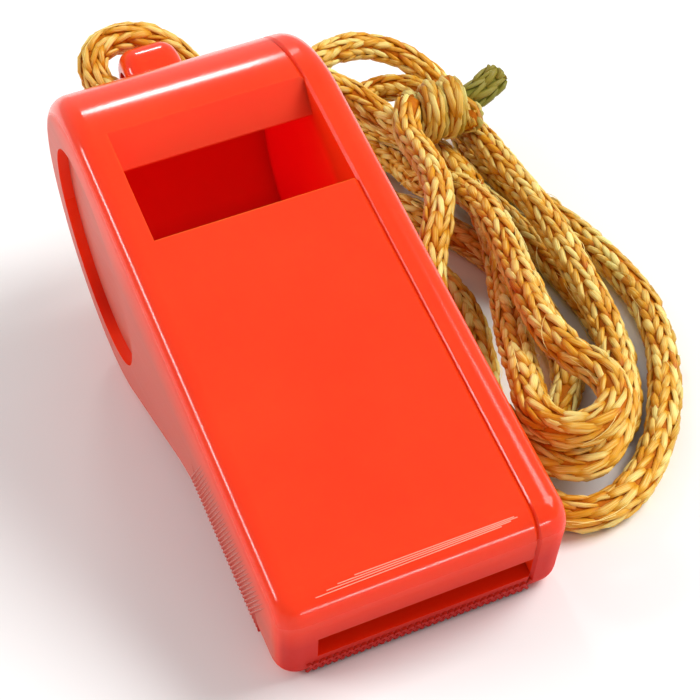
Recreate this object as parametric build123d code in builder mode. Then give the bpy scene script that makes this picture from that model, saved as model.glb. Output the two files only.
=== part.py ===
from build123d import *
import math
import os

# Sports whistle with a round barrel, a bonded side cover, a loose pea and a knotted neck cord.
# Millimetres. It lies on a table on its barrel and its lip: +X is the blowing end, +Y the covered side.

# barrel and roof
width = 20.4                 # over both side walls
side_wall = 2.55             # each side wall; the one at +Y is the cover
barrel_radius = 12.6         # outside of the barrel
barrel_wall = 2.4
reach = 39.5                 # from the barrel's axis to the front face
mouth_height = 9.4           # front face, from the roof down to the lip
belly_angle = 37.0           # slope of the underside where it leaves the barrel
belly_radius = 18.0          # hollow bend between the belly and the lip
lip_slope = 4.0              # rise of the lip's underside towards the front
nose_radius = 2.2            # front top edge
lip_radius = 2.0             # front bottom edge
rim_radius = 1.6             # round along the outline of both sides
seam_chamfer = 0.2           # vee along the seam between body and cover

# airway
slot_drop = 3.9              # roof thickness at the mouth slot
slot_height = 2.6
jet_drop = 1.75              # roof thickness at the jet
jet_height = 1.4
axis_setback = 9.1           # barrel's axis, behind the front edge of the window
window_length = 10.4
labium_run = 2.0             # length of the ramp behind the window
labium_land = 0.15           # blunt edge of the labium

# moulded details
recess_radius = 8.8          # shallow round recess in both sides
recess_depth = 0.9
core_wall = 2.2              # plastic left round the cored pocket below the windway
core_corner = 0.8
peg_diameter = 1.2           # locating pegs of the cover
peg_length = 2.4
peg_clearance = 0.1
peg_setback = 6.0            # front peg, back from the front face
rib_count = 9                # grip ribs under the lip
rib_pitch = 1.0
rib_height = 0.35
rib_setback = 3.4            # first rib, back from the front face
rib_margin = 2.0             # from the ribs' ends to the seam and to the side

# cord lug
lug_thickness = 4.8
lug_radius = 3.5
lug_hole_radius = 1.9
lug_web = 0.2                # from the barrel to the edge of the hole
lug_round = 1.3

# pea
pea_radius = 4.5
pea_clearance = 0.3
pea_side_gap = 0.65          # from the pea to the cover

# neck cord
cord_diameter = 2.7
cord_clearance = 0.25        # between cord and lug
eye_reach = 1.65             # middle of the cord, past the tip of the lug
eye_stub = 1.8               # how far the cord's other end stands out of the hole
eye_run = 1.2                # how far the other end runs on across
eye_fall = 4.4               # how far the other end comes down behind the barrel
bend_share = 0.45            # share of the shorter run that a bend takes up
fold_share = 0.86            # how round the folds of the hank are
knot_radius = 3.2
knot_length = 5.6
knot_waist = 2.7             # between the knot's wraps
knot_wraps = 3
tail_length = 3.2
overrun = 1.0                # how far a cut runs past a face

half_width = width / 2
inner_half = half_width - side_wall
inner_width = width - 2 * side_wall
bore_radius = barrel_radius - barrel_wall
cord_radius = cord_diameter / 2
peg_radius = peg_diameter / 2

# side outline, measured from the barrel's axis: first forwards, then up
lip_level = barrel_radius - mouth_height
slot_roof = barrel_radius - slot_drop
slot_floor = slot_roof - slot_height
jet_roof = barrel_radius - jet_drop
jet_floor = jet_roof - jet_height
belly_tan = math.tan(math.radians(belly_angle))
belly_cos = math.cos(math.radians(belly_angle))
lip_tan = math.tan(math.radians(lip_slope))
belly_corner_x = (lip_level - reach * lip_tan + barrel_radius / belly_cos) / (belly_tan - lip_tan)
belly_corner = (belly_corner_x, belly_corner_x * belly_tan - barrel_radius / belly_cos)
lug_reach = barrel_radius + lug_web + lug_hole_radius

# it rests on the barrel and the rounded lip, so the roof slopes down to the front
lip_rise = lip_radius / math.cos(math.radians(lip_slope)) - lip_radius * lip_tan
lip_center = Vector(reach - lip_radius, lip_level + lip_rise)
tilt = math.atan2(lip_center.Y, lip_center.X) + math.asin((barrel_radius - lip_radius) / lip_center.length)
forward = Vector(math.cos(tilt), 0, -math.sin(tilt))
upward = Vector(math.sin(tilt), 0, math.cos(tilt))
nose_x = (reach - nose_radius) * forward.X + (barrel_radius - nose_radius) * upward.X + nose_radius
tail_x = -lug_reach * forward.X - lug_radius
axis_point = Vector(-(nose_x + tail_x) / 2, 0, barrel_radius)
middle = Plane(origin=axis_point, x_dir=forward, z_dir=(0, -1, 0))
cover_joint = middle.offset(-inner_half)


def by_lug(outward, across, fall=0):
    """A point given backwards from the barrel's axis along the lug, across, and down."""
    return axis_point - forward * outward + Vector(0, across, -fall)


def biarc(start, heading, end, end_heading, fold, fold_first):
    """Two arcs that meet smoothly; fold is the reach of the tighter one along its heading."""
    span = end - start
    turn = 1 - heading.dot(end_heading)
    half_square = span.dot(span) / 2
    if fold_first:
        first = fold
        second = (half_square - first * span.dot(heading)) / (span.dot(end_heading) + first * turn)
    else:
        second = fold
        first = (half_square - second * span.dot(end_heading)) / (span.dot(heading) + second * turn)
    near = start + heading * first
    far = end - end_heading * second
    joint = near + (far - near) * (first / (first + second))
    arc = TangentArc(start, joint, tangent=heading)
    TangentArc(joint, end, tangent=arc % 1)


def bend_radii(points):
    """The radius at each inner point of a route: its bend takes a share of the shorter run."""
    radii = []
    for before, here, after in zip(points, points[1:], points[2:]):
        turn = math.radians((here - before).get_angle(after - here))
        shorter = min((here - before).length, (after - here).length)
        radii.append(bend_share * shorter / math.tan(turn / 2))
    return radii


# side outline of body and cover
with BuildSketch() as outline:
    with BuildLine():
        barrel = CenterArc((0, 0), barrel_radius, 90, 180 + belly_angle)
        FilletPolyline(
            barrel @ 1, belly_corner, (reach, lip_level), (reach, barrel_radius), barrel @ 0,
            radius=[belly_radius, lip_radius, nose_radius],
        )
    make_face()

# body shell: far side wall, barrel, roof, windway floor and lug in one moulding
core_fall = (slot_floor - jet_floor) / (reach - axis_setback)
core_top = jet_floor + core_fall * (barrel_radius - axis_setback) - core_wall
core_foot = barrel_radius * belly_tan - (barrel_radius - core_wall) / belly_cos
core_tip_run = (core_top - core_foot) / (belly_tan - core_fall)
core_tip = (barrel_radius + core_tip_run, core_top + core_tip_run * core_fall)
peg_front_x = reach - peg_setback
peg_front_floor = slot_floor - core_fall * peg_setback
peg_front_under = lip_level - lip_tan * peg_setback
peg_ring = bore_radius + barrel_wall / 2
peg_places = [
    (peg_front_x, (peg_front_floor + peg_front_under) / 2),
    (-peg_ring, 0),
    (0, -peg_ring),
]
window_rear = axis_setback - window_length
labium_edge = window_rear + labium_run
labium_level = math.sqrt(bore_radius**2 - labium_edge**2) + labium_land

with BuildPart() as body_shell:
    with BuildSketch(cover_joint):
        add(outline.sketch)
    extrude(amount=width - side_wall)
    fillet(body_shell.faces().sort_by(Axis.Y)[0].edges(), radius=rim_radius)
    chamfer(body_shell.faces().sort_by(Axis.Y)[-1].edges(), length=seam_chamfer)
    # cord lug on the back of the barrel
    with BuildSketch(middle.offset(-lug_thickness / 2)):
        with Locations((-lug_reach, 0)):
            Circle(lug_radius)
        with Locations((-lug_reach / 2, 0)):
            Rectangle(lug_reach, 2 * lug_radius)
        with Locations((-lug_reach, 0)):
            Circle(lug_hole_radius, mode=Mode.SUBTRACT)
    extrude(amount=lug_thickness)
    lug_arcs = body_shell.edges().filter_by(GeomType.CIRCLE).filter_by(
        lambda edge: abs(edge.radius - lug_radius) < seam_chamfer
    )
    fillet(lug_arcs, radius=lug_round)
    # barrel bore, window and labium ramp
    with BuildSketch(cover_joint):
        Circle(bore_radius)
        with BuildLine():
            Polyline(
                (labium_edge, 0), (axis_setback, 0), (axis_setback, barrel_radius + overrun),
                (window_rear, barrel_radius + overrun), (window_rear, barrel_radius),
                (labium_edge, labium_level), close=True,
            )
        make_face()
    extrude(amount=inner_width, mode=Mode.SUBTRACT)
    # windway, from the mouth slot to the jet
    with BuildSketch(cover_joint):
        with BuildLine():
            Polyline(
                (axis_setback - overrun, jet_roof), (axis_setback, jet_roof), (reach, slot_roof),
                (reach + overrun, slot_roof), (reach + overrun, slot_floor), (reach, slot_floor),
                (axis_setback, jet_floor), (axis_setback - overrun, jet_floor), close=True,
            )
        make_face()
    extrude(amount=inner_width, mode=Mode.SUBTRACT)
    # cored pocket below the windway, which keeps the walls even
    with BuildSketch(cover_joint) as core:
        with BuildLine():
            Polyline((barrel_radius, core_top), core_tip, (barrel_radius, core_foot), close=True)
        make_face()
        fillet(core.vertices(), radius=core_corner)
    extrude(amount=inner_width, mode=Mode.SUBTRACT)
    # sockets for the cover's pegs
    with BuildSketch(cover_joint):
        with Locations(*peg_places):
            Circle(peg_radius + peg_clearance)
    extrude(amount=peg_length + peg_clearance, mode=Mode.SUBTRACT)
    # round recess in the side
    with BuildSketch(middle.offset(half_width)):
        Circle(recess_radius)
    extrude(amount=-recess_depth, mode=Mode.SUBTRACT)
    # grip ribs under the lip
    with BuildSketch(cover_joint.offset(rib_margin)):
        for rib in range(rib_count):
            rib_x = reach - rib_setback - rib * rib_pitch
            rib_y = lip_level - (reach - rib_x) * lip_tan
            with BuildLine():
                Polyline(
                    (rib_x - rib_pitch / 2, rib_y - rib_pitch / 2 * lip_tan), (rib_x, rib_y - rib_height),
                    (rib_x + rib_pitch / 2, rib_y + rib_pitch / 2 * lip_tan), (rib_x, rib_y + rib_height),
                    close=True,
                )
            make_face()
    extrude(amount=inner_width + side_wall - 2 * rib_margin)
body_shell.part.label = "body_shell"

# side cover: closes barrel, windway and pocket, located by three pegs and bonded
with BuildPart() as side_cover:
    with BuildSketch(cover_joint):
        add(outline.sketch)
    extrude(amount=-side_wall)
    fillet(side_cover.faces().sort_by(Axis.Y)[-1].edges(), radius=rim_radius)
    chamfer(side_cover.faces().sort_by(Axis.Y)[0].edges(), length=seam_chamfer)
    with BuildSketch(middle.offset(-half_width)):
        Circle(recess_radius)
    extrude(amount=recess_depth, mode=Mode.SUBTRACT)
    with BuildSketch(cover_joint):
        with Locations(*peg_places):
            Circle(peg_radius)
    extrude(amount=peg_length)
side_cover.part.label = "side_cover"

# pea, at rest in the lowest place of the bore
pea_orbit = bore_radius - pea_radius - pea_clearance
pea_offset = inner_half - pea_radius - pea_side_gap
with BuildPart() as pea:
    with Locations((axis_point.X, pea_offset, axis_point.Z - pea_orbit)):
        Sphere(pea_radius)
pea.part.label = "pea"

# eye of the cord: through the lug's hole, along the lug and round its tip
eye_side = lug_thickness / 2 + cord_clearance + cord_radius
stub_side = lug_thickness / 2 + eye_stub
eye_tip = lug_reach + lug_radius + eye_reach
eye_points = [
    by_lug(lug_reach, stub_side),
    by_lug(lug_reach, -eye_side),
    by_lug(eye_tip, -eye_side),
    by_lug(eye_tip, eye_side),
    by_lug(eye_tip, eye_side + eye_run, eye_fall),
]
eye_radii = bend_radii(eye_points)
with BuildPart() as cord_eye:
    with BuildLine() as eye_path:
        FilletPolyline(*eye_points, radius=eye_radii)
    with BuildSketch(Plane(origin=eye_points[0], z_dir=eye_path.line % 0)):
        Circle(cord_radius)
    sweep()
cord_eye.part.label = "cord_eye"

# hank: loose loops that spiral in on the table and out again on top, from the lead to the knot
layer_heights = [1.4, 4.6, 7.8]
hank_start = Vector(-28.6, 28.4, 1.4)
hank_turns = [
    # lengthwise: rear fold, middle, front fold; across: right run, tip of the front fold, left run;
    # then how early the front fold begins, the layer of the folds and the layer of the left run
    (-46.0, -7.0, 21.6, 30.0, 16.0, 12.6, 0.42, 0, 0),
    (-39.5, -11.0, 14.0, 24.9, 19.4, 16.0, 0.6, 0, 0),
    (-27.0, -8.0, 12.4, 21.7, 19.2, 16.0, 0.9, 1, 1),
    (-38.5, -9.0, 17.8, 26.6, 18.6, 12.9, 0.65, 1, 2),
]
knot_center = Vector(-24.0, 24.4, 9.3)
knot_stagger = Vector(0, 0, 1.5)
to_front = Vector(1, 0, 0)
to_right = Vector(0, 1, 0)
knot_entry = knot_center - to_right * (knot_length / 2)
hank_end = knot_entry - knot_stagger

stations = []
for turn, (rear, halfway, front, right, tip, left, early_share, layer, left_layer) in enumerate(hank_turns):
    height = layer_heights[layer]
    if turn > 0:
        left_before = stations[-1][0]
        fold_place = Vector(rear, (left_before.Y + right) / 2, left_before.Z)
        stations.append((fold_place, to_right, fold_share, False))
    stations.append((Vector(halfway, right, height), to_front, fold_share, True))
    stations.append((Vector(front, tip, height), -to_right, early_share, False))
    stations.append((Vector(halfway, left, layer_heights[left_layer]), -to_front, fold_share, True))
stations.append((hank_end - to_right * cord_diameter, to_right, fold_share, False))

with BuildPart() as cord_hank:
    with BuildLine() as hank_path:
        point = hank_start + to_front * cord_diameter
        heading = to_front
        Line(hank_start, point)
        for place, place_heading, share, from_fold in stations:
            biarc(point, heading, place, place_heading, share * abs(place.Y - point.Y), from_fold)
            point = place
            heading = place_heading
        Line(point, hank_end)
    with BuildSketch(Plane(origin=hank_start, z_dir=to_front)):
        Circle(cord_radius)
    sweep()
cord_hank.part.label = "cord_hank"

# lead: from the eye, over the loops and down to the start of the hank
lead_points = [
    eye_points[-1],
    by_lug(eye_tip, eye_side + 3 * eye_run / 2, 3 * eye_fall / 2),
    Vector(-30.6, 9.4, 11.4),
    Vector(-33.0, 13.4, 10.2),
    Vector(-36.2, 17.6, 10.4),
    Vector(-39.4, 21.8, 9.6),
    Vector(-40.8, 26.2, 7.6),
    Vector(-38.4, 29.2, 5.2),
    Vector(-34.6, 29.6, 2.8),
    hank_start - to_front * cord_diameter,
    hank_start,
]
lead_radii = bend_radii(lead_points)
with BuildPart() as cord_lead:
    with BuildLine() as lead_path:
        FilletPolyline(*lead_points, radius=lead_radii)
    with BuildSketch(Plane(origin=lead_points[0], z_dir=lead_path.line % 0)):
        Circle(cord_radius)
    sweep()
cord_lead.part.label = "cord_lead"

# return: from the lug's hole, behind the barrel, to the knot
return_points = [
    eye_points[0],
    by_lug(lug_reach, stub_side + 3 * eye_run),
    Vector(-25.0, 12.0, 16.8),
    Vector(-24.7, 15.4, 13.6),
    knot_entry + knot_stagger - to_right * cord_diameter,
    knot_entry + knot_stagger,
]
return_radii = bend_radii(return_points)
with BuildPart() as cord_return:
    with BuildLine() as return_path:
        FilletPolyline(*return_points, radius=return_radii)
    with BuildSketch(Plane(origin=return_points[0], z_dir=return_path.line % 0)):
        Circle(cord_radius)
    sweep()
cord_return.part.label = "cord_return"

# knot: three wraps with drawn-in waists between them
wrap_length = knot_length / knot_wraps
with BuildPart() as cord_knot:
    with BuildSketch(Plane(origin=knot_entry, x_dir=to_right, z_dir=(0, 0, 1))):
        with BuildLine():
            for wrap in range(knot_wraps):
                wrap_start = wrap * wrap_length
                ThreePointArc(
                    (wrap_start, knot_waist), (wrap_start + wrap_length / 2, knot_radius),
                    (wrap_start + wrap_length, knot_waist),
                )
            Polyline((knot_length, knot_waist), (knot_length, 0), (0, 0), (0, knot_waist))
        make_face()
    revolve(axis=Axis(knot_entry, to_right))
cord_knot.part.label = "cord_knot"

# tail: the short cut end that stands out of the knot
tail_start = knot_center + to_right * (knot_length / 2)
with BuildPart() as cord_tail:
    with BuildSketch(Plane(origin=tail_start, z_dir=to_right)):
        Circle(cord_radius)
    extrude(amount=tail_length)
    fillet(cord_tail.faces().sort_by(Axis(tail_start, to_right))[-1].edges(), radius=cord_radius / 2)
cord_tail.part.label = "cord_tail"

os.makedirs("parts", exist_ok=True)
pieces = (body_shell, side_cover, pea, cord_eye, cord_lead, cord_hank, cord_return, cord_knot, cord_tail)
for piece in pieces:
    export_step(piece.part, f"parts/{piece.part.label}.step")

# cord report: radii, length, volume against section times length, least gap of the hank to itself
section = math.pi * cord_radius**2
for name, radii in (("eye", eye_radii), ("lead", lead_radii), ("return", return_radii)):
    print(name, "radii", [round(radius, 1) for radius in radii])
cord_length = tail_length
for piece, path in (
    (cord_eye, eye_path), (cord_lead, lead_path), (cord_hank, hank_path), (cord_return, return_path)
):
    length = sum(edge.length for edge in path.edges())
    cord_length += length
    print(piece.part.label, "length", round(length, 1), "volume share", round(piece.part.volume / length / section, 4))
print("cord length without the knot", round(cord_length, 1))
print("hank bends", sorted(round(edge.radius, 1) for edge in hank_path.edges().filter_by(GeomType.CIRCLE))[:8])

samples = []
travel = 0
for edge in hank_path.wires()[0].order_edges():
    steps = max(2, round(edge.length / cord_radius))
    for step in range(steps):
        samples.append((travel + edge.length * step / steps, edge @ (step / steps)))
    travel += edge.length
gap = min(
    (place - other).length - cord_diameter
    for index, (run, place) in enumerate(samples)
    for other_run, other in samples[index + 1:]
    if other_run - run > 3 * cord_diameter
)
print("least gap of the hank to itself", round(gap, 2))
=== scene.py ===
import math

import bpy
import numpy as np
from mathutils import Matrix, Vector


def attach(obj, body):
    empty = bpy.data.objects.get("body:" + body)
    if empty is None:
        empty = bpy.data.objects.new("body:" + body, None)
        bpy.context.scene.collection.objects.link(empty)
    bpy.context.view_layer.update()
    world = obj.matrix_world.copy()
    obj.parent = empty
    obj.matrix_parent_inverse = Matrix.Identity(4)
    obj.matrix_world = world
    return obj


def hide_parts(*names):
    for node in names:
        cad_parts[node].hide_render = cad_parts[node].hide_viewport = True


# A moulded sports whistle lying on a table, with a loose pea inside and a knitted neck cord beside it.
# Metres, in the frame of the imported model: +X is the blowing end, +Y the covered side.
# Lengths in the dictionaries are millimetres and angles are degrees, unless a note says otherwise.

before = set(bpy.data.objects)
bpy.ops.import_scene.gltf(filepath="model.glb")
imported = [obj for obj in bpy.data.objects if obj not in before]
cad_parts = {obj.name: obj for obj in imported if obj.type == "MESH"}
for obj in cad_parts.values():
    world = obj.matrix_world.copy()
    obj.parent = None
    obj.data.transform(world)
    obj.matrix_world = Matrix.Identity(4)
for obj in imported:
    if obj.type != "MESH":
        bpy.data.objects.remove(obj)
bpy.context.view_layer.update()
bpy.ops.object.select_all(action="DESELECT")
mm = 0.001

# the barrel's axis and the slope of the roof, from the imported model
whistle = dict(axis=(-11.788, 0.0, 12.6), tilt=23.96, halfWidth=10.2)


def linear(hexColour):
    parts = [int(hexColour[place:place + 2], 16) / 255 for place in (1, 3, 5)]
    return [part / 12.92 if part <= 0.04045 else ((part + 0.055) / 1.055) ** 2.4 for part in parts] + [1.0]


def addNode(tree, kind, settings=None, values=None, links=None):
    node = tree.nodes.new(kind)
    for name, value in (settings or {}).items():
        setattr(node, name, value)
    for name, value in (values or {}).items():
        node.inputs[name].default_value = value
    for name, source in (links or {}).items():
        tree.links.new(source, node.inputs[name])
    return node


def newMaterial(name, values):
    material = bpy.data.materials.new(name)
    material.use_nodes = True
    tree = material.node_tree
    shader = tree.nodes["Principled BSDF"]
    for socket, value in values.items():
        shader.inputs[socket].default_value = value
    return material, tree, shader


def setRamp(node, stops):
    ramp = node.color_ramp
    while len(ramp.elements) < len(stops):
        ramp.elements.new(0.5)
    for element, (place, colour) in zip(ramp.elements, stops):
        element.position = place
        element.color = colour


def meshObject(name, vertices, faces):
    mesh = bpy.data.meshes.new(name)
    mesh.from_pydata(vertices, [], faces)
    mesh.update()
    piece = bpy.data.objects.new(name, mesh)
    bpy.context.scene.collection.objects.link(piece)
    return piece


def smoothFaces(piece):
    for polygon in piece.data.polygons:
        polygon.use_smooth = True


multiply = {"operation": "MULTIPLY"}
add = {"operation": "ADD"}
absolute = {"operation": "ABSOLUTE"}
moreThan = {"operation": "GREATER_THAN"}
lessThan = {"operation": "LESS_THAN"}
multiplyAdd = {"operation": "MULTIPLY_ADD"}
mixColour = {"data_type": "RGBA"}

# moulded styrene plastic: glossy on the roof and the round edges, a satin with scuffs on both flat sides, dull
# underneath; painted sheen and shade turn the flat sides greyish pink, painted shade makes the front faces a deeper
# red, and a painted red glow inside the barrel stands in for light through the thin walls
plastic = dict(
    # the greyish pink of the flat sides is painted sheen and shade, the deep red of the front faces painted shade
    colour="#F73E14", deep="#F23811", sideSheenShade="#CA5646", frontShade="#B80A00",
    ior=1.53, gloss=0.27, roughness=0.14, sideRoughness=0.46, dulled=0.5,
    bleed=3.0, bleedColours=(1.0, 0.18, 0.08),      # how far each colour of light spreads under the skin
    mottle=9.0,                                     # size of the faint colour clouds of the moulding
    scuff=0.35, scuffLean=24.0, scuffStretch=0.04,  # fine scuffs that run lengthwise along the sides
    scuffDepth=0.05, scuffStrength=0.05, scuffWear=(-0.015, 0.02),
    sidesFrom=9.0, insideTo=8.0,                    # out from the middle plane
    sideSheenShadeBelow=13.2, freshAbove=17.4, sideSheenShadeLeast=0.25,    # from the origin, square to the roof
    frontShadeFrom=8.6, frontShadeBy=4.0, frontShadeMost=0.9,   # above the table
    slopeBehind=5.0,                                # the slope behind the window ends before this X
    boreRadius=10.6, glowRadius=9.0,                # from the barrel's axis, where the glow ends and where it is full
    glow=0.2, glowColour=(1.0, 0.0, 0.004, 1.0),
)


def whistleZones(tree, place):
    # masks that say where on the whistle a point lies, and how strongly each finish, the painted sheen and shade and
    # the painted glow show there
    spot = addNode(tree, "ShaderNodeSeparateXYZ", links={"Vector": place.outputs["Object"]})
    facing = addNode(tree, "ShaderNodeSeparateXYZ", links={"Vector": place.outputs["Normal"]})
    across = addNode(tree, "ShaderNodeMath", absolute, links={0: spot.outputs["Y"]})
    # flat sides: their normal lies along Y, and they are the outermost faces
    sideways = addNode(tree, "ShaderNodeMath", absolute, links={0: facing.outputs["Y"]})
    flat = addNode(tree, "ShaderNodeMapRange", values={"From Min": 0.9, "From Max": 0.995},
                   links={"Value": sideways.outputs[0]})
    outer = addNode(tree, "ShaderNodeMath", moreThan, values={1: plastic["sidesFrom"] * mm},
                    links={0: across.outputs[0]})
    side = addNode(tree, "ShaderNodeMath", multiply, links={0: flat.outputs["Result"], 1: outer.outputs[0]})
    # the painted sheen and shade on the sides fade out next to the roof
    tilt = math.radians(whistle["tilt"])
    height = addNode(tree, "ShaderNodeVectorMath", {"operation": "DOT_PRODUCT"},
                     values={1: (math.sin(tilt), 0.0, math.cos(tilt))}, links={0: place.outputs["Object"]})
    belowRoof = addNode(
        tree, "ShaderNodeMapRange", links={"Value": height.outputs["Value"]},
        values={"From Min": plastic["sideSheenShadeBelow"] * mm, "From Max": plastic["freshAbove"] * mm,
                "To Min": 1.0, "To Max": plastic["sideSheenShadeLeast"]})
    sideSheenShade = addNode(tree, "ShaderNodeMath", multiply, links={0: side.outputs[0], 1: belowRoof.outputs["Result"]})
    # front faces, from the front edge down to the lip, where a painted shade darkens them
    low = addNode(
        tree, "ShaderNodeMapRange", links={"Value": spot.outputs["Z"]},
        values={"From Min": plastic["frontShadeFrom"] * mm, "From Max": plastic["frontShadeBy"] * mm,
                "To Max": plastic["frontShadeMost"]})
    nearLip = addNode(tree, "ShaderNodeMapRange", values={"From Min": 0.2, "From Max": 0.6},
                      links={"Value": facing.outputs["X"]})
    frontShade = addNode(tree, "ShaderNodeMath", multiply,
                     links={0: low.outputs["Result"], 1: nearLip.outputs["Result"]})
    under = addNode(tree, "ShaderNodeMapRange", values={"From Min": 0.0, "From Max": -0.35},
                    links={"Value": facing.outputs["Z"]})
    # the slope behind the window looks forward, inside the side walls
    inner = addNode(tree, "ShaderNodeMath", lessThan, values={1: plastic["insideTo"] * mm},
                    links={0: across.outputs[0]})
    forward = addNode(tree, "ShaderNodeMath", moreThan, values={1: 0.6}, links={0: facing.outputs["X"]})
    behind = addNode(tree, "ShaderNodeMath", lessThan, values={1: plastic["slopeBehind"] * mm},
                     links={0: spot.outputs["X"]})
    hollow = addNode(tree, "ShaderNodeMath", multiply, links={0: inner.outputs[0], 1: forward.outputs[0]})
    slope = addNode(tree, "ShaderNodeMath", multiply, links={0: hollow.outputs[0], 1: behind.outputs[0]})
    # inside of the barrel, by the distance from its axis, where the painted red glow lies
    middle = addNode(tree, "ShaderNodeCombineXYZ",
                     values={"X": -whistle["axis"][0] * mm, "Z": -whistle["axis"][2] * mm})
    fromAxis = addNode(tree, "ShaderNodeVectorMath", multiplyAdd, values={1: (1.0, 0.0, 1.0)},
                       links={0: place.outputs["Object"], 2: middle.outputs["Vector"]})
    reach = addNode(tree, "ShaderNodeVectorMath", {"operation": "LENGTH"}, links={0: fromAxis.outputs["Vector"]})
    deep = addNode(
        tree, "ShaderNodeMapRange", links={"Value": reach.outputs["Value"]},
        values={"From Min": plastic["boreRadius"] * mm, "From Max": plastic["glowRadius"] * mm,
                "To Max": plastic["glow"]})
    bore = addNode(tree, "ShaderNodeMath", multiply, links={0: deep.outputs["Result"], 1: inner.outputs[0]})
    return dict(side=side.outputs[0], sideSheenShade=sideSheenShade.outputs[0], frontShade=frontShade.outputs[0],
                under=under.outputs["Result"], slope=slope.outputs[0], bore=bore.outputs[0])


def plasticMaterial(name, depth, colour, deep):
    material, tree, shader = newMaterial(name, {
        "IOR": plastic["ior"], "Specular IOR Level": plastic["gloss"], "Subsurface Weight": depth,
        "Subsurface Scale": plastic["bleed"] * mm, "Subsurface Radius": plastic["bleedColours"],
        "Emission Color": plastic["glowColour"],
    })
    place = addNode(tree, "ShaderNodeTexCoord")
    zone = whistleZones(tree, place)
    mottle = addNode(tree, "ShaderNodeTexNoise", values={"Scale": 1 / (plastic["mottle"] * mm), "Detail": 3.0},
                     links={"Vector": place.outputs["Object"]})
    tint = addNode(tree, "ShaderNodeValToRGB", links={"Fac": mottle.outputs["Fac"]})
    setRamp(tint, [(0.3, linear(deep)), (0.7, linear(colour))])
    # flat sides mixed towards a greyish pink: painted sheen and shade
    sideSheenShade = addNode(tree, "ShaderNodeMix", mixColour, values={7: linear(plastic["sideSheenShade"])},
                   links={0: zone["sideSheenShade"], 6: tint.outputs["Color"]})
    # front faces mixed towards a deep red: painted shade
    frontShade = addNode(tree, "ShaderNodeMix", mixColour, values={7: linear(plastic["frontShade"])},
                     links={0: zone["frontShade"], 6: sideSheenShade.outputs[2]})
    tree.links.new(frontShade.outputs[2], shader.inputs["Base Color"])
    # satin sides with scuffs, a dull underside, and the dull finish of the cutter on the slope
    satin = addNode(tree, "ShaderNodeMapRange", links={"Value": zone["side"]},
                    values={"To Min": plastic["roughness"], "To Max": plastic["sideRoughness"]})
    stretch = addNode(tree, "ShaderNodeMapping", links={"Vector": place.outputs["Object"]},
                      values={"Rotation": (0, math.radians(plastic["scuffLean"]), 0),
                              "Scale": (plastic["scuffStretch"], 1.0, 1.0)})
    scuffs = addNode(tree, "ShaderNodeTexNoise", values={"Scale": 1 / (plastic["scuff"] * mm), "Detail": 4.0},
                     links={"Vector": stretch.outputs["Vector"]})
    smoother, rougher = plastic["scuffWear"]
    wear = addNode(tree, "ShaderNodeMapRange", links={"Value": scuffs.outputs["Fac"]},
                   values={"From Min": 0.3, "From Max": 0.7, "To Min": smoother, "To Max": rougher})
    rough = addNode(tree, "ShaderNodeMath", add, links={0: satin.outputs["Result"], 1: wear.outputs["Result"]})
    underneath = addNode(tree, "ShaderNodeMath", multiplyAdd, values={1: plastic["dulled"]},
                         links={0: zone["under"], 2: rough.outputs[0]})
    finish = addNode(tree, "ShaderNodeMath", multiplyAdd, values={1: plastic["dulled"]},
                     links={0: zone["slope"], 2: underneath.outputs[0]})
    tree.links.new(finish.outputs[0], shader.inputs["Roughness"])
    # a painted red glow inside the barrel, standing in for light through the thin walls
    tree.links.new(zone["bore"], shader.inputs["Emission Strength"])
    relief = addNode(tree, "ShaderNodeMath", multiply, links={0: scuffs.outputs["Fac"], 1: zone["side"]})
    bump = addNode(tree, "ShaderNodeBump", links={"Height": relief.outputs[0]},
                   values={"Strength": plastic["scuffStrength"], "Distance": plastic["scuffDepth"] * mm})
    tree.links.new(bump.outputs["Normal"], shader.inputs["Normal"])
    return material


# pressed cork: light granules with dark binder between them, dull all over
cork = dict(light="#B98A58", dark="#6A4526", granule=1.1, relief=0.2)


def corkMaterial():
    material, tree, shader = newMaterial("pressedCork", {"Roughness": 0.85, "IOR": 1.4})
    place = addNode(tree, "ShaderNodeTexCoord")
    granules = addNode(tree, "ShaderNodeTexVoronoi", values={"Scale": 1 / (cork["granule"] * mm)},
                       links={"Vector": place.outputs["Object"]})
    tint = addNode(tree, "ShaderNodeValToRGB", links={"Fac": granules.outputs["Color"]})
    setRamp(tint, [(0.1, linear(cork["dark"])), (0.8, linear(cork["light"]))])
    tree.links.new(tint.outputs["Color"], shader.inputs["Base Color"])
    bump = addNode(tree, "ShaderNodeBump", {"invert": True}, links={"Height": granules.outputs["Distance"]},
                   values={"Strength": 0.6, "Distance": cork["relief"] * mm})
    tree.links.new(bump.outputs["Normal"], shader.inputs["Normal"])
    return material


# knitted polypropylene cord: shiny flat yarn; its pale crests are painted highlight, its deep orange where a leg
# dives and the orange of the core are painted shade, and the dull olive outside the heap, on the knot and on the cut
# end is a painted green reflection
yarn = dict(
    pale="#F8E58C", straw="#DE9C18", deep="#C06200", core="#C8720C", coreDeep="#A85600",
    # olive: a painted green reflection
    olive="#7C7824", oliveDeep="#5E5A1A",
    filament=0.09, streaks=1.1,         # filaments, drawn coarse enough to show, and how far they change the tone
    acrossLeg=14.0, alongLeg=1.2,       # how often they change across a leg of yarn and along it
    fuzz=0.6, fuzzDepth=0.15,
)


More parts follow.
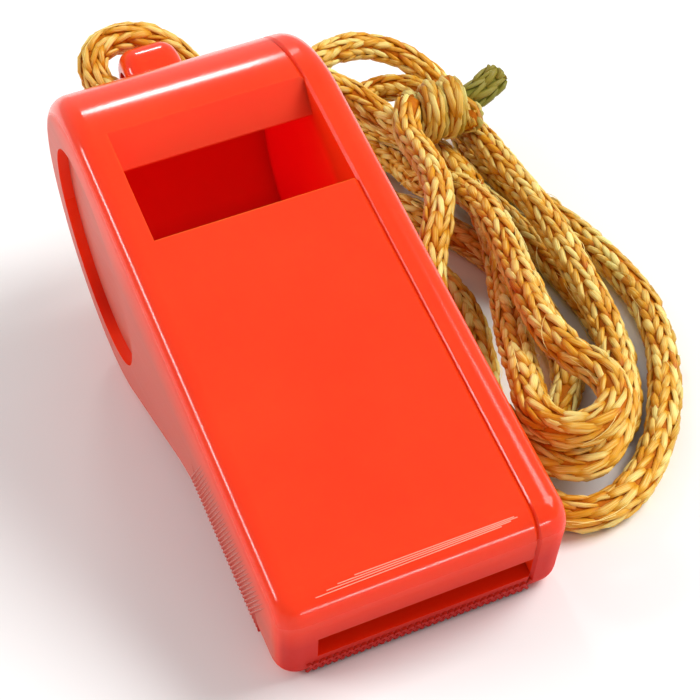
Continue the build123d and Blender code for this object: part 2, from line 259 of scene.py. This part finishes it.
def yarnMaterial():
    material, tree, shader = newMaterial("knittedPolypropyleneYarn", {
        "Roughness": 0.4, "IOR": 1.49, "Specular IOR Level": 0.25, "Subsurface Weight": 0.1,
        "Subsurface Scale": 0.5 * mm, "Subsurface Radius": (1.0, 0.5, 0.15),
    })
    leg = addNode(tree, "ShaderNodeUVMap", {"uv_map": "yarn"})
    stretch = addNode(tree, "ShaderNodeMapping", links={"Vector": leg.outputs["UV"]},
                      values={"Scale": (yarn["acrossLeg"], yarn["alongLeg"], 1.0)})
    filaments = addNode(tree, "ShaderNodeTexNoise", values={"Scale": 1.0, "Detail": 2.0},
                        links={"Vector": stretch.outputs["Vector"]})
    tone = addNode(tree, "ShaderNodeAttribute", {"attribute_name": "tone"})
    streaks = addNode(tree, "ShaderNodeMath", multiplyAdd, values={1: yarn["streaks"]},
                      links={0: filaments.outputs["Fac"], 2: tone.outputs["Fac"]})
    tint = addNode(tree, "ShaderNodeValToRGB", links={"Fac": streaks.outputs[0]})
    setRamp(tint, [(0.0, linear(yarn["deep"])), (0.5, linear(yarn["straw"])), (1.0, linear(yarn["pale"]))])
    shade = addNode(tree, "ShaderNodeAttribute", {"attribute_name": "olive"})
    shaded = addNode(tree, "ShaderNodeMix", mixColour, values={7: linear(yarn["olive"])},
                     links={0: shade.outputs["Fac"], 6: tint.outputs["Color"]})
    tree.links.new(shaded.outputs[2], shader.inputs["Base Color"])
    bump = addNode(tree, "ShaderNodeBump", values={"Strength": 0.7, "Distance": yarn["filament"] * mm},
                   links={"Height": filaments.outputs["Fac"]})
    tree.links.new(bump.outputs["Normal"], shader.inputs["Normal"])
    return material


def coreMaterial(name, light, dark):
    material, tree, shader = newMaterial(name, {"Roughness": 0.6, "IOR": 1.49, "Specular IOR Level": 0.1})
    place = addNode(tree, "ShaderNodeTexCoord")
    fuzz = addNode(tree, "ShaderNodeTexNoise", values={"Scale": 1 / (yarn["fuzz"] * mm), "Detail": 3.0},
                   links={"Vector": place.outputs["Object"]})
    tint = addNode(tree, "ShaderNodeValToRGB", links={"Fac": fuzz.outputs["Fac"]})
    setRamp(tint, [(0.3, linear(dark)), (0.7, linear(light))])
    tree.links.new(tint.outputs["Color"], shader.inputs["Base Color"])
    bump = addNode(tree, "ShaderNodeBump", values={"Strength": 0.5, "Distance": yarn["fuzzDepth"] * mm},
                   links={"Height": fuzz.outputs["Fac"]})
    tree.links.new(bump.outputs["Normal"], shader.inputs["Normal"])
    return material


# light goes some way into the thick walls, but not into the fine bars of the knurl and the tool marks
whistlePlastic = plasticMaterial("mouldedStyreneOrangeRed", 0.5, plastic["colour"], plastic["deep"])
# the side knurl is painted the greyish pink of the sides' sheen and shade
gripPlastic = plasticMaterial("mouldedStyreneKnurl", 0.0, "#CC5A48", "#B84A3A")
# the lip knurl is painted a dark red: painted shade under the mouthpiece
lipPlastic = plasticMaterial("mouldedStyreneLipPaintedShade", 0.0, "#B03820", "#98301C")
# the tool marks are pale pink: whitened scratches with a painted highlight
scratchHighlightPlastic = plasticMaterial("mouldedStyreneScratchedHighlight", 0.0, "#FFA890", "#FF8C70")
peaCork = corkMaterial()
cordYarn = yarnMaterial()
# the orange core between the stitches is painted shade
cordCore = coreMaterial("knittedPolypropyleneCore", yarn["core"], yarn["coreDeep"])
# the olive of the cut end is a painted green reflection
cutEnd = coreMaterial("polypropyleneEndGreenReflection", yarn["olive"], yarn["oliveDeep"])
for node, material in (("body_shell", whistlePlastic), ("side_cover", whistlePlastic), ("pea", peaCork)):
    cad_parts[node].data.materials.clear()
    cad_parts[node].data.materials.append(material)
print("stage: materials on the moulded nodes and the pea")

# diamond knurl that the teeth hold, on both sides of the mouthpiece and along its lip: two sets of bars that lean
# opposite ways, placed along the roof from the barrel's axis, across, and square to the roof
grip = dict(
    pitch=0.34, lean=23.0, radius=0.12, count=35, height=7.0, rise=0.7,
    sunk=(0.03, 0.125),                         # at the lower and the upper end, which runs into the wall
    rows=((1, 34.0, 0.0), (-1, 35.4, 0.04)),    # way of leaning, first bar along the roof, how much deeper
    lipAlong=39.5, lipUp=3.2, lipSlope=4.0,     # lower front corner of the mouthpiece, and how its underside falls
)
lip = dict(pitch=0.48, radius=0.15, count=33, start=-8.0, lean=0.3, foot=(39.32, 3.9), top=(39.53, 5.45))
# fine tool marks round the front edge: from and to an angle round the edge, from and to a place across
marks = dict(
    radius=0.035, noseCentre=(37.3, 10.4), noseRadius=2.2,
    lines=((14, 15, -4.6, 6.4), (18, 17.5, -5.8, 6.6), (22, 20, -6.6, 6.1), (27, 23, -7.4, 5.4)),
)


def onWhistle(along, across, up):
    tilt = math.radians(whistle["tilt"])
    return Vector((whistle["axis"][0] + along * math.cos(tilt) + up * math.sin(tilt), across,
                   whistle["axis"][2] - along * math.sin(tilt) + up * math.cos(tilt))) * mm


def addBar(name, start, end, radius):
    bpy.ops.mesh.primitive_cylinder_add(
        vertices=8, radius=radius * mm, depth=(end - start).length, location=(start + end) / 2,
        rotation=(end - start).to_track_quat("Z", "Y").to_euler())
    bar = bpy.context.active_object
    bar.name = name
    bpy.ops.object.transform_apply(location=True, rotation=True, scale=True)
    return bar


def repeatBar(bar, count, step):
    array = bar.modifiers.new("repeat", "ARRAY")
    array.use_relative_offset = False
    array.use_constant_offset = True
    array.constant_offset_displace = step
    array.count = count
    bpy.ops.object.modifier_apply(modifier="repeat")


def joinBars(bars, material):
    bpy.ops.object.select_all(action="DESELECT")
    for bar in bars:
        bar.select_set(True)
    bpy.context.view_layer.objects.active = bars[0]
    bpy.ops.object.join()
    bpy.ops.object.shade_smooth_by_angle(angle=math.radians(50))
    bpy.ops.object.select_all(action="DESELECT")
    bars[0].data.materials.append(material)
    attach(bars[0], "whistle")
    return bars[0]


leanTan = math.tan(math.radians(grip["lean"]))
slopeTan = math.tan(math.radians(grip["lipSlope"]))
sideStep = onWhistle(-grip["pitch"], 0, -grip["pitch"] * slopeTan) - onWhistle(0, 0, 0)
knurlBars = []
for side in (-1, 1):
    for lean, front, deeper in grip["rows"]:
        low, high = (side * (whistle["halfWidth"] - sunk - deeper) for sunk in grip["sunk"])
        foot = grip["lipUp"] - (grip["lipAlong"] - front) * slopeTan + grip["rise"]
        start = onWhistle(front, low, foot)
        end = onWhistle(front + lean * leanTan * grip["height"], high, foot + grip["height"])
        bar = addBar("gripKnurl", start, end, grip["radius"])
        repeatBar(bar, grip["count"], sideStep)
        knurlBars.append(bar)
lipBars = []
for lean in (-1, 1):
    start = onWhistle(lip["foot"][0], lip["start"] - lip["lean"] * lean, lip["foot"][1])
    end = onWhistle(lip["top"][0], lip["start"] + lip["lean"] * lean, lip["top"][1])
    bar = addBar("lipKnurl", start, end, lip["radius"])
    repeatBar(bar, lip["count"], Vector((0, lip["pitch"] * mm, 0)))
    lipBars.append(bar)
gripKnurl = joinBars(knurlBars, gripPlastic)
joinBars(lipBars, lipPlastic)


def onNose(turn, across):
    angle = math.radians(turn)
    return onWhistle(marks["noseCentre"][0] + marks["noseRadius"] * math.sin(angle), across,
                     marks["noseCentre"][1] + marks["noseRadius"] * math.cos(angle))


markBars = []
for startTurn, endTurn, startAcross, endAcross in marks["lines"]:
    bar = addBar("toolMarks", onNose(startTurn, startAcross), onNose(endTurn, endAcross), marks["radius"])
    markBars.append(bar)
joinBars(markBars, scratchHighlightPlastic)
print("stage: knurl of", len(gripKnurl.data.polygons), "faces and tool marks")

# neck cord: one length from the knot, through the lug and round its tip, through the loose hank, back to the knot
cord = dict(diameter=2.7, coreShare=0.76, coreSides=12, step=0.6, leadShare=0.16, bareEnd=1.2, tableGap=0.02)
fromKnot = [
    (-24.0, 21.6, 7.8), (-26.2, 20.9, 7.7), (-29.4, 20.2, 8.0), (-31.8, 18.6, 9.6), (-31.0, 15.0, 12.6),
    (-28.2, 10.8, 16.2), (-25.6, 7.4, 18.2), (-25.2, 4.2, 18.6),
]
roundLug = [
    (-25.2, -0.6, 18.5), (-25.2, -2.9, 18.5), (-25.9, -4.3, 19.3), (-27.6, -4.5, 20.8), (-29.0, -3.3, 21.7),
    (-29.8, -1.0, 21.7), (-30.3, 1.2, 20.7), (-30.5, 3.0, 19.2), (-30.4, 4.4, 17.0),
]
lead = [
    (-30.3, 5.6, 14.2), (-31.6, 8.8, 11.8), (-34.0, 13.0, 10.9), (-37.0, 17.4, 10.9), (-39.6, 21.6, 10.2),
    (-40.4, 26.0, 8.2), (-38.2, 29.2, 5.6), (-34.6, 30.0, 3.0), (-31.0, 29.2, 1.5), (-27.0, 28.8, 1.4),
]
hankTurns = [
    [   # outermost turn, on the table
        (-20.0, 29.2, 1.4), (-12.0, 30.2, 1.4), (-4.0, 30.7, 1.4), (2.0, 30.1, 1.4), (8.0, 28.2, 1.4),
        (13.8, 25.2, 1.4), (18.6, 21.8, 1.4), (21.8, 18.2, 1.4), (22.8, 15.2, 1.4), (22.0, 12.9, 1.4),
        (19.8, 11.9, 1.4), (16.0, 11.9, 1.4), (9.0, 12.8, 1.4), (-2.0, 17.0, 1.4), (-12.0, 17.8, 1.4),
        (-25.0, 13.2, 1.4),
    ],
    [   # inner turn, on the table, folded back close to itself
        (-33.5, 12.6, 1.4), (-38.6, 14.4, 1.4), (-40.0, 18.2, 1.4), (-37.4, 22.2, 1.4), (-31.0, 24.4, 1.4),
        (-22.0, 25.8, 1.4), (-11.0, 26.5, 1.4), (-2.0, 26.3, 1.4), (5.6, 25.5, 1.4), (11.0, 23.3, 1.4),
        (14.6, 21.3, 1.4), (16.4, 18.8, 1.4), (15.8, 16.4, 1.4), (13.2, 15.9, 1.4), (10.8, 18.0, 1.4),
        (8.0, 20.2, 1.4), (3.4, 21.8, 1.4), (-4.0, 22.8, 1.4), (-12.0, 22.6, 1.4),
    ],
    [   # bright turn that climbs over the others and curls back under itself
        (-19.0, 20.6, 1.4), (-24.0, 18.8, 1.4), (-29.0, 16.4, 1.5), (-32.8, 16.2, 1.6), (-34.6, 18.4, 1.7),
        (-33.2, 20.8, 1.9), (-29.4, 21.8, 2.2), (-25.4, 21.4, 2.9), (-20.5, 20.9, 4.4), (-15.6, 21.7, 6.6),
        (-9.6, 21.5, 8.0), (-4.6, 20.9, 8.2), (2.4, 19.3, 8.2), (9.2, 17.9, 8.0), (13.2, 18.0, 7.9),
        (16.2, 19.2, 7.7), (18.6, 18.8, 7.4), (20.2, 17.2, 7.1), (20.4, 15.2, 6.9), (19.0, 13.6, 6.9),
        (16.4, 13.3, 6.9), (12.8, 14.6, 6.5), (6.4, 16.5, 5.6), (-0.5, 19.0, 4.7),
    ],
    [   # right run under the knot, then back beside the whistle
        (-9.0, 22.4, 4.4), (-18.0, 24.2, 4.5), (-26.0, 23.9, 4.9), (-32.0, 21.8, 4.9), (-36.0, 20.6, 4.8),
        (-38.8, 21.8, 4.8), (-39.4, 24.3, 4.9), (-37.4, 26.3, 5.2), (-33.6, 27.4, 5.4), (-24.0, 27.8, 5.6),
        (-16.0, 27.2, 5.5), (-9.8, 26.9, 5.3), (-4.6, 26.2, 4.9), (1.0, 25.4, 4.5), (6.4, 24.3, 4.2),
        (10.4, 23.0, 4.2), (14.0, 21.5, 4.4), (17.0, 19.8, 4.2), (19.2, 17.8, 3.7), (20.2, 15.6, 3.5),
        (18.8, 13.2, 4.0), (14.0, 12.0, 4.4), (7.0, 12.0, 4.3), (0.0, 12.8, 4.6),
    ],
]
intoKnot = [
    (-5.0, 14.6, 6.8), (-8.6, 17.4, 8.4), (-12.6, 19.2, 8.8), (-17.6, 20.0, 9.0), (-22.0, 19.9, 9.6),
    (-24.0, 21.6, 10.8),
]


def splinePoints(name, route):
    curve = bpy.data.curves.new(name, "CURVE")
    curve.dimensions = "3D"
    curve.resolution_u = 16
    spline = curve.splines.new("NURBS")
    spline.points.add(len(route) - 1)
    for point, place in zip(spline.points, route):
        point.co = (*(value * mm for value in place), 1.0)
    spline.order_u = 3
    spline.use_endpoint_u = True
    holder = bpy.data.objects.new(name, curve)
    bpy.context.scene.collection.objects.link(holder)
    line = bpy.data.meshes.new_from_object(holder)
    points = np.array([vertex.co for vertex in line.vertices])
    bpy.data.objects.remove(holder)
    bpy.data.meshes.remove(line)
    return points


class Strand:
    # a line with evenly spaced frames that don't twist, to hang stitches on
    def __init__(self, points, step):
        runs = np.linalg.norm(np.diff(points, axis=0), axis=1)
        along = np.concatenate([[0.0], np.cumsum(runs)])
        self.length = along[-1]
        self.places = np.linspace(0.0, self.length, max(3, round(self.length / step)))
        self.points = np.stack([np.interp(self.places, along, points[:, axis]) for axis in range(3)], axis=1)
        tangents = np.gradient(self.points, axis=0)
        tangents = tangents / np.linalg.norm(tangents, axis=1)[:, None]
        side = np.cross(tangents[0], (0.3, 0.2, 1.0))       # any direction off the line will do
        sides = []
        for tangent in tangents:
            side = side - tangent * side.dot(tangent)
            side = side / np.linalg.norm(side)
            sides.append(side)
        self.sides = np.array(sides)
        self.ups = np.cross(tangents, self.sides)

    def rowsAt(self, rows, along):
        kept = np.clip(along, 0.0, self.length)
        return np.stack([np.interp(kept, self.places, rows[:, axis]) for axis in range(3)], axis=1)

    def outward(self, along, angle):
        sides, ups = self.rowsAt(self.sides, along), self.rowsAt(self.ups, along)
        return sides * np.cos(angle)[:, None] + ups * np.sin(angle)[:, None]

    def skin(self, along, angle, radius):
        return self.rowsAt(self.points, along) + self.outward(along, angle) * radius[:, None]


def ringAngles(sides):
    return np.arange(sides) * 2 * math.pi / sides


def tubeMesh(name, strand, radius, material):
    sides = cord["coreSides"]
    rings = len(strand.places)
    along = np.repeat(strand.places, sides)
    angle = np.tile(ringAngles(sides), rings)
    points = strand.skin(along, angle, np.full(len(along), radius))
    points = np.vstack([points, strand.points[:1], strand.points[-1:]])
    faces = []
    for ring in range(rings - 1):
        for side in range(sides):
            here, beside = ring * sides + side, ring * sides + (side + 1) % sides
            faces.append((here, beside, beside + sides, here + sides))
    first, last = rings * sides, rings * sides + 1
    for side in range(sides):
        faces.append((first, (side + 1) % sides, side))
        faces.append((last, (rings - 1) * sides + side, (rings - 1) * sides + (side + 1) % sides))
    piece = meshObject(name, points.tolist(), faces)
    smoothFaces(piece)
    piece.data.materials.append(material)
    return piece


# a stitch is a V of two plump legs that come up through the stitch below and dive under the next
stitch = dict(
    pitch=1.6, wales=5, legWidth=0.32, legHeight=0.19,
    rings=(0.06, 0.3, 0.62, 0.92), sides=6,             # where the rings of a leg lie along it, and their corners
    legStart=-0.35, legLength=1.7,                      # in pitches
    spreadStart=0.06, spread=0.4, spreadCurve=0.85,     # in wales, out from the middle of the V
    sunk=0.05, tipSunk=0.1,                             # in leg heights
    narrow=0.7, thin=0.4,                               # shares of the full width and height at a leg's ends
    bowCurve=0.7, taper=0.6, slant=0.42,                # how roundly a leg rises and swells, and its lean
    twists=((0.35, 31.0, 0.0), (0.5, 83.0, 1.0)),       # slow twists of the cord: radians, wave length, phase
    looseAngle=0.08, loosePlace=0.09,                   # uneven knitting: radians, pitches
    looseSize=0.16, looseLift=0.05,
)
# tones run from 0, deep orange where a leg dives, to 1, palest where it stands out: painted shade and painted
# highlight
shades = dict(level=0.06, spread=0.16, crest=0.6, crestLevel=0.75, streakShift=7.0,
              oliveAcross=0.5, oliveBelow=0.35, oliveFrom=0.1, heapFrom=14.0, heapOver=14.0)


def stitchMesh(name, strand, start, end, diameter, seed, greenReflection=0.0):
    rng = np.random.default_rng(seed)
    pitch, wales, sides = stitch["pitch"] * mm, stitch["wales"], stitch["sides"]
    radius = diameter / 2
    rows = np.arange(start, end, pitch)
    rowPlace, wale, hand = np.meshgrid(rows, np.arange(wales), (-1.0, 1.0), indexing="ij")
    rowPlace, wale, hand = rowPlace.ravel(), wale.ravel(), hand.ravel()
    legs = len(rowPlace)
    waleAngle = 2 * math.pi / wales
    twist = sum(size * np.sin(rowPlace / (wave * mm) + phase) for size, wave, phase in stitch["twists"])
    middle = wale * waleAngle + twist + rng.normal(0, stitch["looseAngle"], legs)
    rowPlace = rowPlace + pitch * wale / wales + rng.normal(0, stitch["loosePlace"], legs) * pitch
    fat = rng.normal(1.0, stitch["looseSize"], legs)
    lift = rng.normal(0.0, stitch["looseLift"], legs) * mm
    shares = np.array(stitch["rings"])
    legWidth, legHeight = stitch["legWidth"] * mm, stitch["legHeight"] * mm
    base = radius - 2 * legHeight
    points = []
    for share in np.concatenate([[0.0], shares, [1.0]]):
        bow = math.sin(math.pi * share)
        along = rowPlace + pitch * (stitch["legStart"] + stitch["legLength"] * share)
        spread = stitch["spreadStart"] + stitch["spread"] * share ** stitch["spreadCurve"]
        angle = middle + hand * waleAngle * spread
        rise = stitch["sunk"] + (1 - stitch["sunk"]) * bow ** stitch["bowCurve"]
        out = base + legHeight * rise + lift * bow
        if share in (0.0, 1.0):
            tip = strand.skin(along, angle, out - stitch["tipSunk"] * legHeight)
            points.append(tip[:, None, :])
            continue
        full = bow ** stitch["taper"]
        width = legWidth * fat * (stitch["narrow"] + (1 - stitch["narrow"]) * full)
        height = legHeight * fat * (stitch["thin"] + (1 - stitch["thin"]) * full)
        corners = []
        for turn in ringAngles(sides):
            sideways = width * math.cos(turn)
            corners.append(strand.skin(along - sideways * hand * stitch["slant"], angle + sideways / radius,
                                       out + height * math.sin(turn)))
        points.append(np.stack(corners, axis=1))
    block = np.concatenate(points, axis=1)
    block[:, :, 2] = np.maximum(block[:, :, 2], cord["tableGap"] * mm)      # flattened where it lies on the table
    count = block.shape[1]
    pattern = []
    for side in range(sides):
        beside = (side + 1) % sides
        pattern.append((0, 1 + beside, 1 + side))
        for ring in range(len(shares) - 1):
            low, high = 1 + ring * sides, 1 + (ring + 1) * sides
            pattern.append((low + side, low + beside, high + beside, high + side))
        top = 1 + (len(shares) - 1) * sides
        pattern.append((top + side, top + beside, count - 1))
    faces = [tuple(corner + leg * count for corner in face) for leg in range(legs) for face in pattern]
    piece = meshObject(name, block.reshape(-1, 3).tolist(), faces)
    mesh = piece.data
    # painted shade where each leg dives and painted highlight where it stands out
    crests = np.concatenate([[0.0], np.repeat(np.sin(math.pi * shares), sides), [0.0]])
    levels = rng.normal(shades["level"], shades["spread"], legs)
    tones = levels[:, None] + shades["crest"] * (crests - shades["crestLevel"])[None, :]
    mesh.attributes.new("tone", "FLOAT", "POINT").data.foreach_set("value", tones.ravel())
    # painted olive reflection of green light towards the outside of the heap, and all over by the given amount
    outs = strand.outward(rowPlace, middle)
    turned = outs[:, 1] * shades["oliveAcross"] - outs[:, 2] * shades["oliveBelow"] - shades["oliveFrom"]
    farOut = (block.mean(axis=1)[:, 1] / mm - shades["heapFrom"]) / shades["heapOver"]
    olive = np.clip(turned, 0, 1) * np.clip(farOut, 0, 1) + greenReflection
    mesh.attributes.new("olive", "FLOAT", "POINT").data.foreach_set("value", np.repeat(olive, count))
    # filaments run along each leg
    layer = mesh.uv_layers.new(name="yarn")
    legUv = [(0.5, 0.0)]
    for share in shares:
        legUv += [(0.5 + 0.5 * math.cos(turn), share) for turn in ringAngles(sides)]
    legUv = np.array(legUv + [(0.5, 1.0)])
    vertices = np.zeros(len(mesh.loops), dtype=np.int32)
    mesh.loops.foreach_get("vertex_index", vertices)
    shift = rng.random((legs, 2))[vertices // count] * shades["streakShift"]
    layer.data.foreach_set("uv", (legUv[vertices % count] + shift).ravel())
    smoothFaces(piece)
    mesh.materials.append(cordYarn)
    return piece


# loose filaments that have worked out of the yarn
fibre = dict(
    count=220, thick=0.025, run=(2.0, 5.0), lift=(0.02, 0.3), sunk=0.06, tone=0.55, rings=6, sides=3,
    drift=0.7,                  # radians round the cord
    between=(0.03, 0.96),       # shares of the cord's length
)


def fibreMesh(name, strand, seed):
    rng = np.random.default_rng(seed)
    count, rings, sides = fibre["count"], fibre["rings"], fibre["sides"]
    thick = fibre["thick"] * mm
    radius = cord["diameter"] / 2 * mm
    start = rng.uniform(*fibre["between"], count) * strand.length
    run = rng.uniform(*fibre["run"], count) * mm
    turn = rng.uniform(0, 2 * math.pi, count)
    drift = rng.normal(0, fibre["drift"], count)
    lift = rng.uniform(*fibre["lift"], count) * mm
    points = []
    for share in np.linspace(0, 1, rings):
        out = radius - fibre["sunk"] * mm + lift * math.sin(math.pi * share)
        for around in ringAngles(sides):
            angle = turn + drift * share + thick * math.cos(around) / radius
            points.append(strand.skin(start + run * share, angle, out + thick * math.sin(around)))
    block = np.stack(points, axis=1)
    block[:, :, 2] = np.maximum(block[:, :, 2], cord["tableGap"] * mm)
    size = rings * sides
    pattern = []
    for ring in range(rings - 1):
        for side in range(sides):
            here, beside = ring * sides + side, ring * sides + (side + 1) % sides
            pattern.append((here, beside, beside + sides, here + sides))
    pattern += [(2, 1, 0), (size - 3, size - 2, size - 1)]
    faces = [tuple(corner + hair * size for corner in face) for hair in range(count) for face in pattern]
    piece = meshObject(name, block.reshape(-1, 3).tolist(), faces)
    tones = np.full(count * size, fibre["tone"])
    piece.data.attributes.new("tone", "FLOAT", "POINT").data.foreach_set("value", tones)
    piece.data.materials.append(cordYarn)
    return piece


route = fromKnot + roundLug + lead + [point for turn in hankTurns for point in turn] + intoKnot
cordStrand = Strand(splinePoints("neckCordLine", route), cord["step"] * mm)
cordDiameter = cord["diameter"] * mm
coreRadius = cordDiameter / 2 * cord["coreShare"]
neckCord = tubeMesh("neckCord", cordStrand, coreRadius, cordCore)
leadEnd = cord["leadShare"] * cordStrand.length
hankEnd = cordStrand.length - cord["bareEnd"] * mm
leadStitches = stitchMesh("cordStitchesLead", cordStrand, 0.0, leadEnd, cordDiameter, seed=11)
hankStitches = stitchMesh("cordStitchesHank", cordStrand, leadEnd, hankEnd, cordDiameter, seed=12)
cordFibres = fibreMesh("cordFibres", cordStrand, seed=15)
for piece in (neckCord, leadStitches, hankStitches, cordFibres):
    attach(piece, "whistle")
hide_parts("cord_eye", "cord_lead", "cord_return", "cord_hank")
print("stage: neck cord", round(cordStrand.length / mm, 1), "mm long,",
      len(hankStitches.data.polygons), "faces in the hank")

# knot: a wrap of the same cord round both strands, and the cut end that stands out of it
# the knot and the cut end get a share of painted olive reflection all over
knot = dict(centre=(-24.0, 24.4, 9.3), coilRadius=1.75, pitch=1.95, turns=2.6, steps=12,
            startAngle=2.2,     # radians
            diameter=2.5, tuck=1.7, step=0.5, bareEnd=1.0, greenReflection=0.2)
tail = dict(route=[(-24.0, 26.2, 9.3), (-24.2, 27.6, 9.4), (-24.6, 29.2, 9.8), (-25.2, 30.6, 10.2)],
            step=0.4, bareEnd=0.8, greenReflection=0.9)


def knotRoute():
    middle, across, up = knot["centre"]
    coil = []
    for step in range(round(knot["turns"] * knot["steps"]) + 1):
        turns = step / knot["steps"]
        angle = 2 * math.pi * turns + knot["startAngle"]
        coil.append((middle + knot["coilRadius"] * math.cos(angle),
                     across + knot["pitch"] * (turns - knot["turns"] / 2),
                     up + knot["coilRadius"] * math.sin(angle)))
    # both ends are tucked into the coil
    return [(middle, across - knot["tuck"], up)] + coil + [(middle, across + knot["tuck"], up)]


knotStrand = Strand(splinePoints("knotLine", knotRoute()), knot["step"] * mm)
knotDiameter = knot["diameter"] * mm
knotCore = tubeMesh("cordKnot", knotStrand, knotDiameter / 2 * cord["coreShare"], cordCore)
knotEnd = knotStrand.length - knot["bareEnd"] * mm
knotStitches = stitchMesh("cordStitchesKnot", knotStrand, 0.0, knotEnd, knotDiameter, seed=13, greenReflection=knot["greenReflection"])
tailStrand = Strand(splinePoints("tailLine", tail["route"]), tail["step"] * mm)
tailCore = tubeMesh("cordTail", tailStrand, coreRadius, cutEnd)
tailEnd = tailStrand.length - tail["bareEnd"] * mm
tailStitches = stitchMesh("cordStitchesTail", tailStrand, 0.0, tailEnd, cordDiameter, seed=14, greenReflection=tail["greenReflection"])
for piece in (knotCore, knotStitches, tailCore, tailStitches):
    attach(piece, "whistle")
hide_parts("cord_knot")
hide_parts("cord_tail")
print("stage: knot and cut end")

# pale laminate table, far wider than the view: matt, with the faintest clouds
table = dict(size=2.4, colour="#F4F3F1", deep="#F1F0EE", clouds=25.0)       # size in metres
bpy.ops.mesh.primitive_plane_add(size=table["size"], location=(0, 0, 0))
tableTop = bpy.context.active_object
tableTop.name = "tableTop"
tableMaterial, tableTree, tableShader = newMaterial("paleTableLaminate", {"Roughness": 0.7})
tablePlace = addNode(tableTree, "ShaderNodeTexCoord")
tableClouds = addNode(tableTree, "ShaderNodeTexNoise", values={"Scale": 1 / (table["clouds"] * mm)},
                      links={"Vector": tablePlace.outputs["Object"]})
tableTint = addNode(tableTree, "ShaderNodeValToRGB", links={"Fac": tableClouds.outputs["Fac"]})
setRamp(tableTint, [(0.3, linear(table["deep"])), (0.7, linear(table["colour"]))])
tableTree.links.new(tableTint.outputs["Color"], tableShader.inputs["Base Color"])
tableTop.data.materials.append(tableMaterial)

# studio light: a softbox at the right, and strips behind, left and in front for the bright edges; metres and watts
softboxes = [
    dict(name="softboxKey", place=(0.2, 0.85, 0.85), size=(0.7, 0.7), power=14.5),
    dict(name="stripBehind", place=(-0.9, 0.2, 0.64), size=(0.14, 0.08), power=1.05),
    dict(name="stripLeft", place=(-0.33, -0.8, 0.39), size=(0.5, 0.1), power=3.3),
    dict(name="stripFront", place=(1.07, 0.28, 0.04), size=(0.25, 0.05), power=1.5),
]
room = dict(colour="#F2F4F6", strength=0.56)
for softbox in softboxes:
    light = bpy.data.lights.new(softbox["name"], "AREA")
    light.shape = "RECTANGLE"
    light.size, light.size_y = softbox["size"]
    light.energy = softbox["power"]
    lamp = bpy.data.objects.new(softbox["name"], light)
    lamp.location = softbox["place"]
    lamp.rotation_euler = (-Vector(softbox["place"])).to_track_quat("-Z", "Y").to_euler()
    bpy.context.scene.collection.objects.link(lamp)
world = bpy.data.worlds.new("paleRoom")
world.use_nodes = True
background = world.node_tree.nodes["Background"]
background.inputs["Color"].default_value = linear(room["colour"])
background.inputs["Strength"].default_value = room["strength"]
bpy.context.scene.world = world
bpy.context.scene.view_settings.view_transform = "Standard"

# camera, worked back from the edges of the window, the seam and the front face in the photograph
view = dict(place=(108.712, -26.283, 83.880), towards=(-0.78732, 0.23095, -0.57166), roll=-9.131,
            lens=92.288, sensor=36.0, nearest=5.0)
cameraData = bpy.data.cameras.new("photoCamera")
cameraData.sensor_width = view["sensor"]
cameraData.lens = view["lens"]
cameraData.clip_start = view["nearest"] * mm
camera = bpy.data.objects.new("photoCamera", cameraData)
camera.location = [value * mm for value in view["place"]]
roll = Matrix.Rotation(math.radians(view["roll"]), 3, "Z")
aim = Vector(view["towards"]).to_track_quat("-Z", "Y").to_matrix() @ roll
camera.rotation_euler = aim.to_euler()
bpy.context.scene.collection.objects.link(camera)
bpy.context.scene.camera = camera
print("stage: table, lights and camera")
